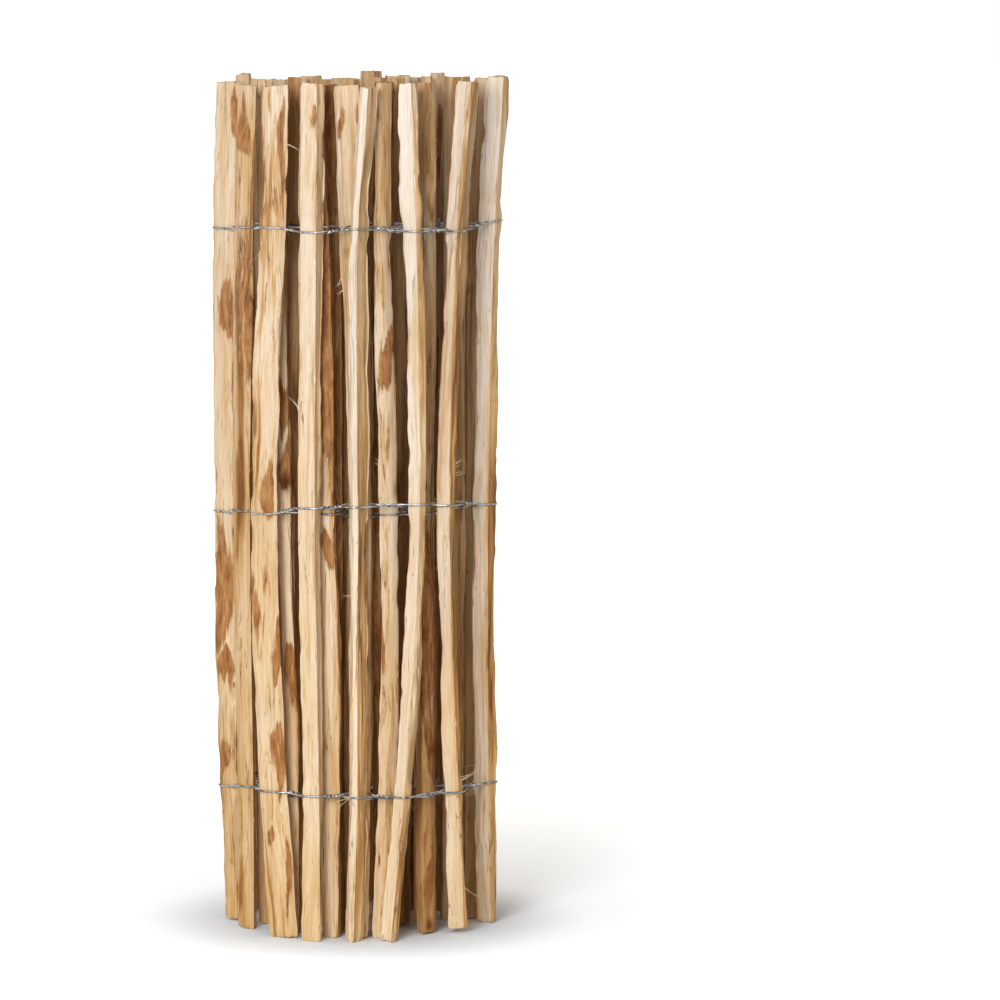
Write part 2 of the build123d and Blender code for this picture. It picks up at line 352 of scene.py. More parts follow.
def streaked_wood(tree, place, tone, fine, broad):
    """Sapwood to brown heart by the tone, in broad shades, strips and fine streaks."""
    strips = rise(tree, grain_texture(tree, place, STRIPS), *STRIP_FADE)
    streaky = rise(tree, grain_texture(tree, place, STREAK_PLACES), *STREAK_FADE)
    shade = math_node(tree, "ADD", about_nought(tree, broad, BROAD_SHARE), strips)
    shaded = math_node(tree, "ADD", tone, shade)
    factor = math_node(tree, "ADD", shaded, about_nought(tree, fine, streaky), clamp=True)
    return ramp(tree, factor, WOOD_COLOURS)


def cracks(tree, place):
    """Thin cracks along the grain, here and there."""
    off = math_node(tree, "ABSOLUTE", math_node(tree, "SUBTRACT", grain_texture(tree, place, CRACKS), 0.5))
    line = rise(tree, off, *CRACK_FADE)
    where = rise(tree, grain_texture(tree, place, CRACK_PLACES), *CRACK_PLACE_FADE)
    return math_node(tree, "MULTIPLY", line, where)


def marked_wood(tree, place, wood, fibre, crack):
    """The wood with its fine lines, short brown flecks and dark cracks."""
    wood = mix_colour(tree, FIBRE_SHARE, wood, ramp(tree, fibre, FIBRE_COLOURS), "MULTIPLY")
    spots = rise(tree, grain_texture(tree, place, FLECKS), *FLECK_FADE)
    wood = mix_colour(tree, math_node(tree, "MULTIPLY", spots, FLECK_SHARE), wood, FLECK_COLOUR)
    return mix_colour(tree, math_node(tree, "MULTIPLY", crack, CRACK_SHARE), wood, CRACK_COLOUR)


def barked(tree, place, wood, amount, mask):
    """The wood with the bark left on it and a rim of bast round the bark."""
    bark_colour = ramp(tree, grain_texture(tree, place, CRUST), BARK_COLOURS)
    colour = mix_colour(tree, mask, wood, bark_colour)
    return mix_colour(tree, 1.0, colour, ramp(tree, amount, BAST_COLOURS), "MULTIPLY")


def height_tint(tree):
    """A tint that is greyer towards the head of the roll and more golden towards its foot."""
    place = add_node(tree, "TexCoord").outputs["Object"]
    height = add_node(tree, "SeparateXYZ", Vector=place).outputs["Z"]
    return ramp(tree, height, HEIGHT_COLOURS)


def wood_relief(tree, fine, fibre, broad, crack, mask):
    """The relief of the wood: fibres and broad waves, cracks cut in, bark on top."""
    height = math_node(tree, "MULTIPLY", math_node(tree, "ADD", fine, fibre), FIBRE_RELIEF)
    for texture, share in ((crack, CRACK_RELIEF), (mask, BARK_RELIEF), (broad, BROAD_RELIEF)):
        height = math_node(tree, "ADD", height, math_node(tree, "MULTIPLY", texture, share))
    reach = {"Strength": RELIEF_STRENGTH, "Distance": RELIEF_HEIGHT}
    return add_node(tree, "Bump", Height=height, **reach).outputs["Normal"]


def chestnut():
    """Split chestnut: grain along the pale, flecks, and ragged bark where it is left."""
    material, tree, shader = new_material("chestnut")
    place = wandering_grain(tree)
    look = add_node(tree, "Attribute", {"attribute_name": "look"})
    tone, bark, painted_shade = add_node(tree, "SeparateColor", Color=look.outputs["Color"]).outputs
    fine, fibre, broad = (grain_texture(tree, place, grain) for grain in (FINE, FIBRE, BROAD))
    crack = cracks(tree, place)
    ragged = about_nought(tree, grain_texture(tree, place, BARK_EDGES), BARK_RAGGED)
    amount = math_node(tree, "ADD", bark, ragged)
    mask = rise(tree, amount, *BARK_FADE)

    colour = streaked_wood(tree, place, tone, fine, broad)
    colour = marked_wood(tree, place, colour, fibre, crack)
    colour = barked(tree, place, colour, amount, mask)
    colour = mix_colour(tree, 1.0, colour, height_tint(tree), "MULTIPLY")
    # painted shade: pales in the gaps and behind others are darkened, together with the dark eyes of knots
    colour = mix_colour(tree, painted_shade, colour, SHADE_AND_KNOT_COLOUR, "MULTIPLY")
    sawn = ramp(tree, grain_texture(tree, place, SAWN_RINGS), SAWN_COLOURS)
    cut_end = math_node(tree, "MULTIPLY", look.outputs["Alpha"], SAWN_SHARE)
    colour = mix_colour(tree, cut_end, colour, sawn)
    relief = wood_relief(tree, fine, fibre, broad, crack, mask)
    feed(tree, shader, Base_Color=colour, Normal=relief)
    feed(tree, shader, Roughness=WOOD_ROUGHNESS, Specular_IOR_Level=WOOD_SHINE)
    return material


def galvanised():
    """Zinc-coated wire, dulled in places."""
    material, tree, shader = new_material("galvanised_wire")
    place = add_node(tree, "TexCoord").outputs["Object"]
    clouds = add_node(tree, "TexNoise", Vector=place, Scale=WIRE_CLOUDS, Detail=WIRE_DETAIL)
    cloud = clouds.outputs["Fac"]
    roughness = rise(tree, cloud, *WIRE_ROUGHNESS_FADE)
    feed(tree, shader, Base_Color=ramp(tree, cloud, WIRE_COLOURS), Roughness=roughness, Metallic=WIRE_METAL)
    return material


# How each pale looks


@dataclass
class Look:
    """How a pale's wood looks: tone from cream 0 to brown 1, how much bark is left, how much painted shade
    darkens it.

    The faces are how much browner its bark side, a cleft face, heart side and other cleft face are: partly
    heartwood and bark, partly painted shade on sides turned from the light.
    """

    tone: float
    bark: float
    painted_shade: float = 0.0
    faces: tuple = (0, 0, 0, 0)


# By the pale's number, where the photograph shows it. The third value is painted shade on pales in the gaps
# and behind others, whose browner tones also stand partly for that shade.
LOOKS = {
    1: Look(0.10, 0.0, faces=(0.3, 0, 0.34, 0.42)),
    2: Look(0.20, 0.0, faces=(0.2, 0, 0.30, 0.38)),
    3: Look(0.10, 0.0, faces=(0.2, 0, 0.34, 0.38)),
    4: Look(0.06, 0.0, faces=(0.2, 0.1, 0, 0.44)),
    5: Look(0.25, 0.0, faces=(0.2, 0, 0, 0.15)),
    6: Look(0.34, 0.20),
    7: Look(0.47, 0.14, 0.05),
    8: Look(0.39, 0.16),
    16: Look(0.36, 0.12),
    17: Look(0.60, 0.35, 0.35),
    18: Look(0.48, 0.28, 0.20),
    19: Look(0.30, 0.25),
    20: Look(0.38, 0.0, faces=(0, 0, 0, 0.3)),
    21: Look(0.30, 0.12, faces=(0, 0.35, 0, 0)),
    22: Look(0.30, 0.12, faces=(0, 0.35, 0, 0)),
    23: Look(0.42, 0.25),
    24: Look(0.52, 0.30, 0.05),
    31: Look(0.72, 0.45, 0.35),
    32: Look(0.72, 0.45, 0.35),
    33: Look(0.72, 0.45, 0.40),
    34: Look(0.70, 0.50, 0.05),
    41: Look(0.64, 0.55),
}
# The least and most tone, bark and painted shade of the other pales
PLAIN_LOOK = ((0.22, 0.55), (0.10, 0.30), (0.0, 0.15))


@dataclass
class Spot:
    """A mark on a pale: its middle and half sizes in picture pixels, and how strong it is."""

    column: float
    row: float
    half_width: float
    half_height: float
    weight: float = 1.0


# Bark that the photograph shows, by the pale's number; one strip on pale 6 is painted shade, drawn as bark
PATCHES = {
    5: (Spot(301, 420, 2, 26, 0.6), Spot(312, 122, 4, 16, 0.8)),
    6: (
        Spot(267, 487, 10, 18),
        Spot(256, 610, 6, 30),
        Spot(275, 655, 6, 26),
        Spot(277, 755, 7, 34),
        Spot(252, 400, 3, 60, 0.7),
        Spot(264, 430, 2, 34, 0.6),
        # painted shade: the brown strip down the right side of pale 6, which is turned from the light
        Spot(285, 150, 3, 65, 0.75),
        Spot(272, 838, 5, 14, 0.7),
        Spot(287, 870, 3, 55, 0.7),
    ),
    7: (Spot(246, 290, 12, 80, 0.6), Spot(243, 880, 4, 40, 0.7), Spot(243, 118, 6, 24, 0.9)),
    8: (
        Spot(240, 118, 8, 26),
        Spot(229, 305, 7, 32),
        Spot(222, 590, 12, 60),
        Spot(226, 672, 7, 24),
        Spot(226, 760, 5, 20),
        Spot(236, 420, 2, 70, 0.6),
    ),
    18: (Spot(430, 620, 14, 110), Spot(431, 757, 9, 36), Spot(429, 885, 4, 12)),
    19: (Spot(386, 360, 9, 36), Spot(381, 640, 4, 30)),
    20: (Spot(341, 130, 4, 18), Spot(356, 112, 2, 12, 0.9)),
    21: (Spot(330, 340, 14, 140), Spot(328, 552, 8, 22)),
    22: (Spot(285, 410, 9, 34), Spot(287, 472, 11, 22), Spot(291, 677, 8, 30)),
}
PATCH_STRAY = (6, 34)  # how far its edges stray across and along, in pixels
PATCH_TOP = 1.05  # its amount in the middle, and how fast that falls off
PATCH_FALL = 0.62

# Where the pales are browner, or paler if the weight is below nought: some real brown, but mostly painted
# shade on sides turned from the light, and painted light on pale 1 where a neighbour shadows it
STAINS_PAINTED_SHADE_AND_LIGHT = {
    1: (
        # on pale 1 the browner spots are painted shade on its side turned from the light, the paler ones
        # painted light where its neighbour shades it
        Spot(491, 580, 8.5, 220, 0.42),
        Spot(479, 140, 6, 75, 0.40),
        Spot(484, 250, 8, 150, -0.12),
        Spot(481, 840, 7, 110, -0.12),
    ),
    2: (Spot(456, 620, 6, 260, 0.34),),
    3: (Spot(420, 330, 6, 110, 0.25), Spot(402, 880, 5, 60, 0.25)),
    4: (Spot(361, 560, 5, 190, 0.26), Spot(366, 860, 5, 70, 0.28)),
    6: (Spot(252, 420, 5, 110, 0.18),),
    7: (Spot(241, 430, 4, 140, 0.40),),
    8: (Spot(236, 430, 3.5, 120, 0.45),),
    19: (Spot(383, 150, 12, 85, 0.36),),
}
STAIN_SHADE_AND_LIGHT_STRAY = (4, 40)


@dataclass
class Knot:
    """A knot or swelling at a picture pixel: its size, how dark its eye is, how far it swells."""

    column: float
    row: float
    size: float
    eye: float = 0.0
    swell: float = 0.0024


KNOTS = {
    1: (Knot(487, 490, 6.0, 0.1),),
    2: (Knot(457, 470, 5.0, 0.1),),
    3: (Knot(402, 843, 7.0, 0.25),),
    4: (Knot(352, 430, 6.0),),
    6: (Knot(268, 700, 5.0, 0.15),),
    7: (Knot(251, 305, 30.0, swell=0.004),),
    8: (Knot(243, 187, 3.5, 0.35),),
    18: (Knot(428, 925, 5.0, 0.8), Knot(432, 750, 7.0, 0.6, 0.001)),
    20: (Knot(347, 252, 4.0, 0.5),),
    22: (Knot(286, 483, 7.5, 1.4),),
}
KNOT_LENGTH = 1.7  # how much longer than wide a knot is
EYE_SHARPNESS = 2.2


@dataclass
class Torn:
    """Slivers that stand off an arris at a picture pixel: how many, their length and width in metres."""

    column: float
    row: float
    count: int
    length: float
    toward: tuple  # to the right and up in the picture
    width: float = 0.0005


TORN_PLACES = {
    1: (
        Torn(476, 786, 8, 0.022, (-0.6, -0.8), 0.0006),
        Torn(474, 770, 2, 0.030, (-0.85, -0.5), 0.0006),
        Torn(497, 455, 4, 0.020, (0.35, -0.9)),
        Torn(497, 410, 3, 0.012, (0.3, 0.9)),
    ),
    2: (
        Torn(466, 886, 1, 0.039, (0.53, -0.85), 0.0011),
        Torn(456, 470, 6, 0.013, (0.7, 0.5)),
        Torn(461, 780, 5, 0.026, (0.8, 0.45), 0.0006),
    ),
    3: (Torn(420, 205, 6, 0.012, (0.4, -0.9)), Torn(399, 845, 5, 0.008, (0.7, 0.6))),
    4: (Torn(352, 795, 2, 0.030, (-0.6, -0.8), 0.0009), Torn(349, 602, 2, 0.014, (-1.0, 0.1))),
    5: (Torn(299, 405, 3, 0.024, (-0.2, 1.0), 0.0007),),
    6: (Torn(288, 147, 1, 0.026, (0.75, -0.65), 0.0008), Torn(258, 242, 4, 0.026, (0.25, -1.0))),
    8: (Torn(237, 250, 2, 0.012, (0.3, -1.0)),),
    18: (Torn(435, 140, 2, 0.014, (0.3, -1.0)),),
    19: (Torn(379, 465, 3, 0.012, (-0.4, 0.9)),),
    20: (Torn(342, 280, 5, 0.016, (-0.5, -0.85), 0.0006),),
}

# Sections of the pales, from their frame nodes


@dataclass
class Grid:
    """How finely a pale is rebuilt: columns on its bark, a cleft face and its heart, and levels."""

    bark: int
    cleft: int
    heart: int
    levels: int
    slivers: int  # loose ones, besides those that the photograph shows

    def sides(self):
        """The numbers of columns on the four sides in turn."""
        return self.bark, self.cleft, self.heart, self.cleft

    def corners(self):
        """The columns that run along the four arrises."""
        return [0, self.bark, self.bark + self.cleft, self.bark + self.cleft + self.heart]


SHOW_GRID = Grid(24, 18, 12, 280, slivers=12)
GAP_GRID = Grid(16, 11, 7, 220, slivers=8)
HIDDEN_GRID = Grid(9, 6, 4, 100, slivers=3)
PALES = range(1, 49)
SHOW_PALES = range(1, 9)
GAP_PALES = (*range(9, 24), 31, 32, 33)

PLACE_DIGITS = 6  # to which points of the frame are the same
LEVEL_DIGITS = 5
RING_POINTS = 7  # the least that a whole section has
CORNER_TURN = math.radians(24)


def node_points(name):
    """The vertices of a frame node, in metres."""
    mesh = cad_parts[name].data
    points = np.empty(len(mesh.vertices) * 3)
    mesh.vertices.foreach_get("co", points)
    return points.reshape(-1, 3)


def ordered_ring(points):
    """The outline of a pale's section, round its middle, without double points."""
    flat = np.unique(np.round(points[:, :2], PLACE_DIGITS), axis=0)
    middle = flat.mean(axis=0)
    turns = np.arctan2(flat[:, 1] - middle[1], flat[:, 0] - middle[0])
    return flat[np.argsort(turns)]


def corner_turns(ring):
    """How sharply an outline turns at each of its points."""
    arriving = ring - np.roll(ring, 1, axis=0)
    leaving = np.roll(ring, -1, axis=0) - ring
    bearing = np.arctan2(leaving[:, 1], leaving[:, 0]) - np.arctan2(arriving[:, 1], arriving[:, 0])
    return np.abs((bearing + math.pi) % (2 * math.pi) - math.pi)


def side_points(ring, first, last, count):
    """Points spread evenly along an outline from one corner up to the next."""
    span = (last - first) % len(ring)
    stretch = np.roll(ring, -first, axis=0)[:span + 1]
    lengths = np.concatenate([[0], np.cumsum(np.linalg.norm(np.diff(stretch, axis=0), axis=1))])
    wanted = np.linspace(0, lengths[-1], count, endpoint=False)
    return np.column_stack([np.interp(wanted, lengths, stretch[:, axis]) for axis in (0, 1)])


def section_columns(ring, grid):
    """An outline as bark, cleft, heart and cleft columns; the bark is the side that is an arc."""
    corners = np.sort(np.argsort(corner_turns(ring))[-4:])
    spans = (np.roll(corners, -1) - corners) % len(ring)
    corners = np.roll(corners, -np.argmax(spans))
    sides = zip(corners, np.roll(corners, -1), grid.sides())
    return np.concatenate([side_points(ring, *side) for side in sides])


def smooth_through(places, values, wanted):
    """A smooth curve through values at places, read where wanted."""
    slopes = np.gradient(values, places, axis=0)
    index = np.clip(np.searchsorted(places, wanted) - 1, 0, len(places) - 2)
    length = (places[index + 1] - places[index])[:, None, None]
    t = ((wanted - places[index])[:, None, None]) / length
    first = values[index] * (1 + 2 * t) * (1 - t) ** 2 + values[index + 1] * t * t * (3 - 2 * t)
    return first + length * (slopes[index] * t * (1 - t) ** 2 + slopes[index + 1] * t * t * (t - 1))


def smooth_step(value, start, reach):
    """A smooth rise from nought at a start to one a reach beyond it."""
    share = np.clip((value - start) / reach, 0, 1)
    return share * share * (3 - 2 * share)


def pale_surface(name, grid):
    """The heights of a pale's levels and its outlines there, from its frame node."""
    points = node_points(name)
    levels = np.round(points[:, 2], LEVEL_DIGITS)
    stations, rings = [], []
    for level in np.unique(levels):
        ring = ordered_ring(points[levels == level])
        if len(ring) >= RING_POINTS and np.sum(corner_turns(ring) > CORNER_TURN) >= 4:
            stations.append(level)
            rings.append(section_columns(ring, grid))
    heights = np.linspace(stations[0], stations[-1], grid.levels)
    return heights, smooth_through(np.array(stations), np.array(rings), heights)


def outward_normals(outlines):
    """The level normals of the outlines."""
    along = np.roll(outlines, -1, axis=1) - np.roll(outlines, 1, axis=1)
    normals = np.stack([along[..., 1], -along[..., 0]], axis=-1)
    return normals / np.maximum(np.linalg.norm(normals, axis=-1, keepdims=True), 1e-9)


def pale_grid(number):
    """The grid of a pale, by where it shows."""
    if number in SHOW_PALES:
        return SHOW_GRID
    return GAP_GRID if number in GAP_PALES else HIDDEN_GRID


# Split surfaces of the pales


@dataclass
class Wave:
    """Noise in a pale: where it starts, features per metre (or per line) across and along, its reach."""

    part: float
    across: float
    along: float
    reach: float = 1.0


SURFACE_WAVES = (Wave(0, 30, 8, 0.0026), Wave(3, 170, 14, 0.0009))
ARRIS_WAVES = (Wave(0, 9.1, 4.3, 0.0052), Wave(5, 9.1, 11, 0.0020), Wave(9, 9.1, 38, 0.0013))
CHIP_WAVE = Wave(21, 4.7, 24, 0.012)
CHIP_START = 0.32  # the noise from which an arris is chipped
CHIP_SHARES = (1.0, 0.55, 0.2)  # its depth at the arris and the two columns beside it
LEDGE_WAVE = Wave(31, 85, 3.2, 0.0017)  # layers of wood that came away
LEDGE_START = 0.10
LEDGE_FADE = 0.07
EDGE_WAVES = (Wave(11, 45, 12), Wave(17, 45, 12))  # ragged edges of bark and stains
TONE_WAVE = Wave(0, 2.0, 6, 0.16)  # how the tone drifts along a pale
WORN_BACK = 0.0006  # how far the surface lies inside the smooth section
STEADY = {7: 0.35, 9: 0.3, 16: 0.5, 23: 0.3, 24: 0.2}  # pales that stray less
SEED_STEP = 7.3  # how far apart the noises of the pales start
GRAIN_STEP = 3.7
FACING_LIMIT = 0.1  # sides that point less than this to the back can show

WIRE_ROWS = {"lower": 0.2, "middle": 0.6, "upper": 1.0}  # their mean heights
CROSSING_POINTS = 12  # corners of the strands that lie round one pale
CALM_LEAST = 0.10  # how much the surface still strays under a wire
CALM_START = 0.008  # from how far off it strays more, and over which distance
CALM_REACH = 0.022

END_RINGS = (0.95, 0.55)  # the rings inside a sawn end, as shares of its rim
END_WEAR = (0.0008, 0.0022)  # how far the rim of an end is worn back
BESIDE_WEAR = 0.3  # the share of that at the next level
END_TILT = 0.09
END_ROUGH = 0.0014
END_FEATURES = 160  # per metre
END_RISE = 0.8  # the most that an end leans, in levels

# Tongues of bark: the fewest and most, their places and half sizes across and up the bark side
TONGUE_COUNT = (2, 5)
TONGUE_EXTENTS = ((0.0, 1.0), (0.2, 0.5), (0.05, 1.15), (0.03, 0.13))
TONGUE_STRAY = (0.2, 0.05)


class Pale:
    """A pale at many levels, with what its surface and looks are worked out from."""

    def __init__(self, number):
        self.number = number
        self.name = f"pale_{number:02d}"
        self.grid = pale_grid(number)
        self.count = sum(self.grid.sides())  # columns
        self.draw = random.Random(number)
        self.seed = SEED_STEP * number
        self.heights, self.outlines = pale_surface(self.name, self.grid)
        self.centres = self.outlines.mean(axis=1, keepdims=True)
        self.flat = self.outlines - self.centres
        self.normals = outward_normals(self.outlines)
        self.upright = np.repeat(self.heights, self.count)
        self.picture = pixels(np.column_stack([self.outlines.reshape(-1, 2), self.upright]))
        self.facing = (self.normals[..., 1].reshape(-1) < FACING_LIMIT).astype(float)
        self.grain_start = np.array([self.seed, -self.seed, GRAIN_STEP * self.seed])

    def texture(self, wave):
        """Noise over the surface, stretched along the pale."""
        start = self.seed + wave.part
        found = np.empty(self.flat.shape[:2])
        for level, height in enumerate(self.heights):
            for column, (x, y) in enumerate(self.flat[level]):
                place = (x * wave.across + start, y * wave.across - start, height * wave.along)
                found[level, column] = noise.noise(place)
        return found

    def line_texture(self, wave, line):
        """Noise along one line that runs up the pale."""
        start = self.seed + wave.part
        aside = wave.across * line
        return np.array([noise.noise((start, aside, height * wave.along)) for height in self.heights])


def arris_shift(pale):
    """The shift of every column by its two arrises, which stray and are chipped."""
    corners = pale.grid.corners()
    strays = [sum(w.reach * pale.line_texture(w, corner) for w in ARRIS_WAVES) for corner in range(4)]
    cuts = [np.maximum(pale.line_texture(CHIP_WAVE, corner) - CHIP_START, 0) for corner in range(4)]
    chips = CHIP_WAVE.reach * np.array(cuts)
    shift = np.zeros((len(pale.heights), pale.count))
    for side, width in enumerate(pale.grid.sides()):
        first = corners[side]
        for step in range(width):
            share = step / width
            shift[:, first + step] = strays[side] * (1 - share) + strays[(side + 1) % 4] * share
        for step, part in enumerate(CHIP_SHARES):
            shift[:, first + step] -= chips[side] * part
            if step:
                shift[:, (first - step) % pale.count] -= chips[side] * part
    return shift


def ledges(pale):
    """Where a layer came away from the split faces, with a sharp edge along the grain."""
    share = smooth_step(pale.texture(LEDGE_WAVE), LEDGE_START, LEDGE_FADE)
    share[:, :pale.grid.bark + 1] = 0
    return share


def crossing_levels(pale):
    """The heights at which the wires cross a pale, from their points nearest to it."""
    levels = []
    for row, level in WIRE_ROWS.items():
        strands = np.concatenate([node_points(f"{row}_wire_{strand}") for strand in (1, 2)])
        middle = pale.centres[np.argmin(np.abs(pale.heights - level)), 0]
        away = np.linalg.norm(strands[:, :2] - middle, axis=1)
        levels.append(strands[np.argsort(away)[:CROSSING_POINTS], 2].mean())
    return np.array(levels)


def wire_calm(pale):
    """How freely a pale's surface may stray at each height: hardly at all under the wires."""
    near = np.min(np.abs(pale.heights[:, None] - crossing_levels(pale)), axis=1)
    return CALM_LEAST + (1 - CALM_LEAST) * smooth_step(near, CALM_START, CALM_REACH)


def split_surface(pale, swell):
    """A pale's outlines as the split left them, kept inside the box of its frame node."""
    waves = sum(wave.reach * pale.texture(wave) for wave in SURFACE_WAVES)
    waves += arris_shift(pale) - WORN_BACK
    waves -= LEDGE_WAVE.reach * ledges(pale)
    waves *= wire_calm(pale)[:, None] * STEADY.get(pale.number, 1.0)
    waves += swell.reshape(waves.shape)
    surface = pale.outlines + pale.normals * waves[..., None]
    solid = node_points(pale.name)[:, :2]
    return np.clip(surface, solid.min(axis=0), solid.max(axis=0))


def worn_points(pale, surface):
    """The points of a pale's sides, with ends worn round and sawn out of square."""
    points = np.empty((*surface.shape[:2], 3))
    points[..., :2] = surface
    points[..., 2] = pale.heights[:, None]
    step = pale.heights[1] - pale.heights[0]
    last = len(points) - 1
    for end, beside, way in ((0, 1, 1), (last, last - 1, -1)):
        worn = pale.draw.uniform(*END_WEAR)
        points[end, :, :2] -= pale.normals[end] * worn
        points[beside, :, :2] -= pale.normals[beside] * worn * BESIDE_WEAR
        tilt = [pale.draw.uniform(-END_TILT, END_TILT) for _ in range(2)]
        rim = points[end, :, :2].copy()
        rough = [noise.noise((x * END_FEATURES + pale.seed, y * END_FEATURES, way)) for x, y in rim]
        lean = rim @ tilt + END_ROUGH * np.array(rough)
        points[end, :, 2] += way * np.clip(lean - lean.min(), 0, END_RISE * step)
    return points


# What the material needs to know at each point of a pale


def knot_swell(pale):
    """How far a pale swells at its knots, and how dark it is there."""
    columns, rows = pale.picture
    swell = np.zeros(len(columns))
    dark = np.zeros(len(columns))
    for knot in KNOTS.get(pale.number, ()):
        off = ((columns - knot.column) / knot.size) ** 2
        off += ((rows - knot.row) / (KNOT_LENGTH * knot.size)) ** 2
        swell += knot.swell * (np.exp(-off) * pale.facing)
        dark = np.maximum(dark, knot.eye * np.exp(-EYE_SHARPNESS * off) * pale.facing)
    return swell, dark


def ragged_picture(pale, strays, reach):
    """Where a pale's points fall in the picture, strayed for ragged edges."""
    columns, rows = pale.picture
    return columns + reach[0] * strays[0], rows + reach[1] * strays[1]


def off_middle(spot, picture, power):
    """How far points lie from the middle of a spot, counted in its half sizes."""
    columns, rows = picture
    across = ((columns - spot.column) / spot.half_width) ** power
    return across + ((rows - spot.row) / spot.half_height) ** power


def patch_weight(off):
    """How much bark there is, by how far it is from the middle of its patch."""
    return np.clip(PATCH_TOP - PATCH_FALL * off, 0, 1)


def shown_bark(pale, strays):
    """Where the photograph shows bark on a pale."""
    picture = ragged_picture(pale, strays, PATCH_STRAY)
    weight = np.zeros(len(pale.upright))
    for patch in PATCHES[pale.number]:
        here = patch.weight * patch_weight(off_middle(patch, picture, 2)) * pale.facing
        weight = np.maximum(weight, here)
    return weight


def strewn_bark(pale, strays):
    """Tongues of bark on the bark side of a pale that the photograph doesn't show."""
    draw = pale.draw
    columns = np.tile(np.arange(pale.count), len(pale.heights)) / pale.grid.bark
    across = np.where(columns < 1, columns + TONGUE_STRAY[0] * strays[0], np.inf)
    lifted = pale.upright + TONGUE_STRAY[1] * strays[1]
    weight = np.zeros(len(lifted))
    for _ in range(draw.randint(*TONGUE_COUNT)):
        place, half_width, height, half_length = (draw.uniform(*extent) for extent in TONGUE_EXTENTS)
        off = ((across - place) / half_width) ** 2 + ((lifted - height) / half_length) ** 2
        weight = np.maximum(weight, patch_weight(off))
    return weight


def stains_painted_shade_and_light(pale, strays):
    """How much browner a pale is at its stains and painted shade, and how much paler at its painted light.
    """
    picture = ragged_picture(pale, strays, STAIN_SHADE_AND_LIGHT_STRAY)
    tone = np.zeros(len(pale.upright))
    for stain_and_shade_spot in STAINS_PAINTED_SHADE_AND_LIGHT.get(pale.number, ()):
        tone += stain_and_shade_spot.weight * np.exp(-off_middle(stain_and_shade_spot, picture, 4)) * pale.facing
    return tone


def pale_look(pale):
    """How a pale's wood looks: as the photograph shows it, or else drawn."""
    if pale.number in LOOKS:
        return LOOKS[pale.number]
    return Look(*(pale.draw.uniform(*extent) for extent in PLAIN_LOOK))


def side_looks(pale, look, dark):
    """Tone, bark and painted shade at each point of a pale's sides; a fourth value marks sawn ends."""
    levels = len(pale.heights)
    strays = [pale.texture(wave).reshape(-1) for wave in EDGE_WAVES]
    patches = shown_bark(pale, strays) if pale.number in PATCHES else strewn_bark(pale, strays)
    bark = np.zeros(pale.count)
    bark[1:pale.grid.bark] = look.bark
    # sides turned from the light are browner: painted shade, with some real heartwood and bark colour
    face_tones_and_shade = look.tone + np.repeat(look.faces, pale.grid.sides())
    drift = np.repeat(TONE_WAVE.reach * pale.line_texture(TONE_WAVE, 1), pale.count)
    looks = np.zeros((len(pale.upright), 4))
    # the tone also takes the stains, painted shade and painted light of the spots
    looks[:, 0] = np.tile(face_tones_and_shade, levels) + drift + stains_painted_shade_and_light(pale, strays)
    looks[:, 1] = np.maximum(np.tile(bark, levels), patches)
    # painted shade of the pale, with the dark eyes of its knots added
    looks[:, 2] = np.clip(look.painted_shade + dark, 0, 1)
    return looks


# Meshes of the pales

SHARP_ANGLE = math.radians(40)
SLIVER_SIDES = 3
SLIVER_STEPS = 5
SLIVER_LOOK = (0.10, 0.0, 0.0, 0.0)  # pale clean wood
SLIVER_TAPER = 0.8
SLIVER_ROOT = 0.0008  # how deep its root lies in the pale
SLIVER_LIFT = (0.15, 0.45)  # how far it leans outwards
CURL_OUT = 0.3
CURL_ASIDE = 0.25
LOOSE_MARGIN = 6  # levels at each end without them
LOOSE_LENGTH = (0.005, 0.013)
LOOSE_WIDTH = 0.0004
TORN_SCATTER = 2  # levels
TORN_SWAY = 0.35
TORN_LENGTHS = (0.6, 1.0)  # as shares of the longest


@dataclass
class Skin:
    """The growing surface of a pale, with what its material needs at each point."""

    points: list
    faces: list
    grain: list
    look: list

    def size(self):
        """The number of points so far."""
        return sum(len(group) for group in self.points)

    def add(self, points, faces, grain, look):
        """More points, and faces that count the points of the whole skin."""
        self.points.append(points)
        self.faces += faces
        self.grain.append(grain)
        self.look.append(look)


@dataclass
class Sliver:
    """A thin piece torn up from an arris: its level and column, its way, length and half width."""

    level: int
    column: int
    way: Vector
    length: float
    width: float


def side_faces(start, levels, count):
    """Four-cornered faces round and up a tube, whose points begin at start."""
    faces = []
    for level in range(levels - 1):
        low = start + level * count
        high = low + count
        for column in range(count):
            after = (column + 1) % count
            faces.append((low + column, low + after, high + after, high + column))
    return faces


def tube_faces(start, levels, count):
    """Faces of a tube that is closed at both ends, whose points begin at start."""
    last = start + (levels - 1) * count
    bottom = tuple(range(start, start + count))[::-1]
    top = tuple(range(last, last + count))
    return [*side_faces(start, levels, count), bottom, top]


def end_faces(rim, start, count, upward):
    """Faces of a sawn end, from its rim through its rings, which begin at start, to its middle."""
    rings = [rim, *(start + count * ring for ring in range(len(END_RINGS)))]
    middle = start + count * len(END_RINGS)
    faces = []
    for column in range(count):
        after = (column + 1) % count
        for outer, inner in zip(rings, rings[1:]):
            faces.append((outer + column, outer + after, inner + after, inner + column))
        faces.append((rings[-1] + column, rings[-1] + after, middle))
    return faces if upward else [face[::-1] for face in faces]


def inside_box(points):
    """Points kept inside the box of the solids."""
    return np.clip(np.array(points), np.array(cad_box[0]), np.array(cad_box[1]))


